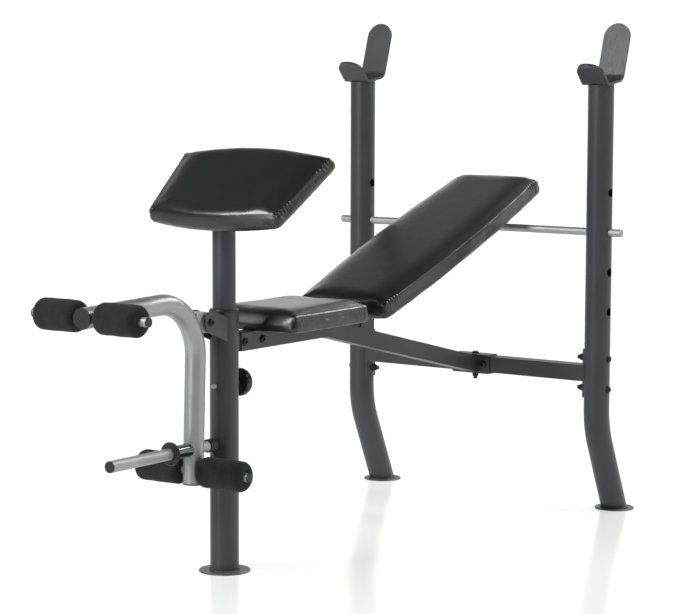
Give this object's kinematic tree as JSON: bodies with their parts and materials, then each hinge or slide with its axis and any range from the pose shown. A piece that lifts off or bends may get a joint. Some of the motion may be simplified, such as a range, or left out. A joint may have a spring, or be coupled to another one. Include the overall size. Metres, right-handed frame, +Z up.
{
  "type": "adjustable weight bench",
  "caption": "Weight bench with a tilting backrest, seat, sliding arm-curl pad, swinging leg developer with foam rollers, and rear uprights with barbell hooks.",
  "frame": {"origin": "centre of the front foot plate's underside, on the floor", "axes": "+Z up; +Y from the front leg towards the rear uprights, along the bench; +X across the bench, to the left of someone who sits facing the front"},
  "size_m": [0.83, 1.6657, 1.2106],
  "materials": {
    "charcoal_paint": "satin powder coat",
    "silver_paint": "satin metallic paint",
    "black_bolts": "black oxide",
    "zinc_plate": "bright zinc plate",
    "black_plastic": "moulded, fine grain",
    "black_rubber": "matte",
    "black_vinyl": "glossy grained vinyl over foam",
    "plywood": "raw",
    "black_foam": "matte closed-cell foam"
  },
  "bodies": {
    "frame": {"front_leg": "charcoal_paint", "front_foot": "charcoal_paint", "clevis_ears": "charcoal_paint", "frame_stub": "charcoal_paint", "leg_bushing": "black_plastic", "lock_boss": "charcoal_paint", "guide_screw": "zinc_plate", "seat_tube": "charcoal_paint", "seat_straps": "charcoal_paint", "seat_board": "plywood", "seat_pad": "black_vinyl", "seat_screws": "zinc_plate", "frame_bolts": "black_bolts", "frame_nuts": "black_bolts", "hinge_ears": "charcoal_paint", "hinge_bolt": "black_bolts", "hinge_nut": "black_bolts", "crossbar": "charcoal_paint", "crossbar_saddles": "charcoal_paint", "centre_bracket": "charcoal_paint", "bracket_bolts": "black_bolts", "bracket_nuts": "black_bolts", "upright_left": "charcoal_paint", "upright_right": "charcoal_paint", "rear_foot_left": "charcoal_paint", "rear_foot_right": "charcoal_paint", "upright_bolts": "black_bolts", "upright_nuts": "black_bolts", "hook_left": "charcoal_paint", "hook_right": "charcoal_paint", "pivot_bolt": "black_bolts", "pivot_nut": "black_bolts"},
    "curl_rest": {"curl_post": "charcoal_paint", "curl_plate": "charcoal_paint", "curl_board": "plywood", "curl_pad": "black_vinyl", "curl_screws": "zinc_plate"},
    "lock_screw": {"lock_screw": "zinc_plate"},
    "lock_knob": {"lock_knob": "black_plastic"},
    "leg_developer": {"developer_tube": "silver_paint", "developer_lug": "silver_paint", "developer_caps": "black_plastic", "pivot_bushes": "black_plastic", "weight_tube": "zinc_plate", "weight_collar": "charcoal_paint", "weight_disc": "black_plastic", "weight_cap": "black_plastic", "leg_bumper": "black_rubber", "roller_tubes": "zinc_plate", "roller_caps": "black_plastic"},
    "foam_upper_left": {"foam_upper_left": "black_foam"},
    "foam_upper_right": {"foam_upper_right": "black_foam"},
    "foam_lower_left": {"foam_lower_left": "black_foam"},
    "foam_lower_right": {"foam_lower_right": "black_foam"},
    "backrest": {"back_rail": "charcoal_paint", "back_straps": "charcoal_paint", "back_board": "plywood", "back_pad": "black_vinyl", "back_screws": "zinc_plate"},
    "adjustment_bar": {"adjustment_bar": "zinc_plate"}
  },
  "joints": [
    {"name": "curl_rest_slide", "type": "slide", "parent": "frame", "child": "curl_rest", "axis": [0, 0, 1], "range_m": [-0.05, 0.1]},
    {"name": "lock_screw_travel", "type": "slide", "parent": "frame", "child": "lock_screw", "axis": [0, 1, 0], "range_m": [0, 0.006]},
    {"name": "lock_knob_turn", "type": "hinge", "parent": "lock_screw", "child": "lock_knob", "pos_m": [0, 0.03175, 0.414], "axis": [0, 1, 0], "range_deg": [0, 1440]},
    {"name": "leg_developer_swing", "type": "hinge", "parent": "frame", "child": "leg_developer", "pos_m": [0, -0.078, 0.56], "axis": [-1, 0, 0], "range_deg": [0, 65]},
    {"name": "foam_upper_left_spin", "type": "hinge", "parent": "leg_developer", "child": "foam_upper_left", "pos_m": [0, -0.44094, 0.60235], "axis": [1, 0, 0], "continuous": true},
    {"name": "foam_upper_right_spin", "type": "hinge", "parent": "leg_developer", "child": "foam_upper_right", "pos_m": [0, -0.44094, 0.60235], "axis": [1, 0, 0], "continuous": true},
    {"name": "foam_lower_left_spin", "type": "hinge", "parent": "leg_developer", "child": "foam_lower_left", "pos_m": [0, -0.10962, 0.23915], "axis": [1, 0, 0], "continuous": true},
    {"name": "foam_lower_right_spin", "type": "hinge", "parent": "leg_developer", "child": "foam_lower_right", "pos_m": [0, -0.10962, 0.23915], "axis": [1, 0, 0], "continuous": true},
    {"name": "backrest_tilt", "type": "hinge", "parent": "frame", "child": "backrest", "pos_m": [0, 0.515, 0.5305], "axis": [1, 0, 0], "range_deg": [0, 12]},
    {"name": "adjustment_bar_slide", "type": "slide", "parent": "frame", "child": "adjustment_bar", "axis": [1, 0, 0], "range_m": [0, 0.7]}
  ],
  "couplings": [
    {"joint": "lock_screw_travel", "follows": "lock_knob_turn", "m_per_rad": 0.00023873}
  ]
}
